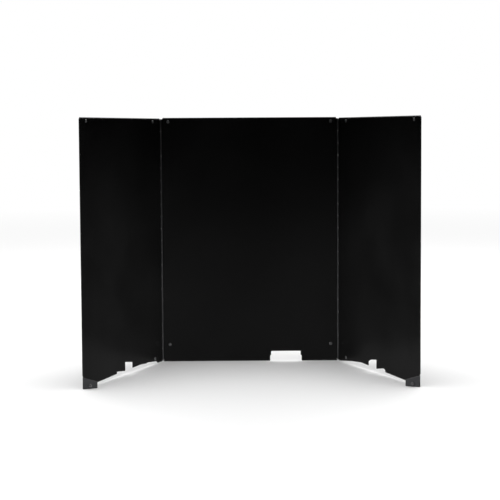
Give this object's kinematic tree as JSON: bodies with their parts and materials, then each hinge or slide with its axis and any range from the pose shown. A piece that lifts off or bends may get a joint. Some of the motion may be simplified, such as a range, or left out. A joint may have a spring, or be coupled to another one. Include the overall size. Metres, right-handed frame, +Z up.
{
  "type": "fireplace screen",
  "caption": "Free-standing folding fireplace screen of glossy black enamelled steel panels: two wings hinged to a centre panel by full-height hinges, with floor notches and folded feet.",
  "frame": {"origin": "middle of the screen's footprint: bottom centre of its box as it stands in use", "axes": "+X to the viewer's right, +Y from the viewer towards the centre panel, +Z up; the wings come forward to -Y"},
  "size_m": [0.76, 0.3756, 0.61],
  "materials": {
    "black_enamel": "high-gloss black porcelain enamel fused on steel sheet",
    "hinge_steel": "rolled steel, blackened and lightly oiled",
    "blackened_fixings": "black oxide, satin, with brighter edges"
  },
  "bodies": {
    "centre": {"centre_panel": "black_enamel", "centre_top_left_screw": "blackened_fixings", "centre_top_left_nut": "blackened_fixings", "centre_top_right_screw": "blackened_fixings", "centre_top_right_nut": "blackened_fixings", "centre_bottom_left_screw": "blackened_fixings", "centre_bottom_left_nut": "blackened_fixings", "centre_bottom_right_screw": "blackened_fixings", "centre_bottom_right_nut": "blackened_fixings", "left_hinge_centre_leaf": "hinge_steel", "left_hinge_centre_leaf_rivet_1": "blackened_fixings", "left_hinge_centre_leaf_rivet_2": "blackened_fixings", "left_hinge_centre_leaf_rivet_3": "blackened_fixings", "left_hinge_centre_leaf_rivet_4": "blackened_fixings", "left_hinge_pin": "hinge_steel", "right_hinge_centre_leaf": "hinge_steel", "right_hinge_centre_leaf_rivet_1": "blackened_fixings", "right_hinge_centre_leaf_rivet_2": "blackened_fixings", "right_hinge_centre_leaf_rivet_3": "blackened_fixings", "right_hinge_centre_leaf_rivet_4": "blackened_fixings", "right_hinge_pin": "hinge_steel"},
    "left_wing": {"left_wing_panel": "black_enamel", "left_hinge_wing_leaf": "hinge_steel", "left_hinge_wing_leaf_rivet_1": "blackened_fixings", "left_hinge_wing_leaf_rivet_2": "blackened_fixings", "left_hinge_wing_leaf_rivet_3": "blackened_fixings", "left_hinge_wing_leaf_rivet_4": "blackened_fixings", "left_wing_top_rear_screw": "blackened_fixings", "left_wing_top_rear_nut": "blackened_fixings", "left_wing_top_front_screw": "blackened_fixings", "left_wing_top_front_nut": "blackened_fixings", "left_wing_bottom_rear_screw": "blackened_fixings", "left_wing_bottom_rear_nut": "blackened_fixings", "left_wing_foot_screw": "blackened_fixings", "left_wing_foot_nut": "blackened_fixings"},
    "right_wing": {"right_wing_panel": "black_enamel", "right_hinge_wing_leaf": "hinge_steel", "right_hinge_wing_leaf_rivet_1": "blackened_fixings", "right_hinge_wing_leaf_rivet_2": "blackened_fixings", "right_hinge_wing_leaf_rivet_3": "blackened_fixings", "right_hinge_wing_leaf_rivet_4": "blackened_fixings", "right_wing_top_rear_screw": "blackened_fixings", "right_wing_top_rear_nut": "blackened_fixings", "right_wing_top_front_screw": "blackened_fixings", "right_wing_top_front_nut": "blackened_fixings", "right_wing_bottom_rear_screw": "blackened_fixings", "right_wing_bottom_rear_nut": "blackened_fixings", "right_wing_foot_screw": "blackened_fixings", "right_wing_foot_nut": "blackened_fixings"}
  },
  "joints": [
    {"name": "left_wing_hinge", "type": "hinge", "parent": "centre", "child": "left_wing", "pos_m": [-0.22, 0.17184, 0.305], "axis": [0, 0, 1], "range_deg": [-66, 102]},
    {"name": "right_wing_hinge", "type": "hinge", "parent": "centre", "child": "right_wing", "pos_m": [0.22, 0.17184, 0.305], "axis": [0, 0, -1], "range_deg": [-66, 56]}
  ]
}
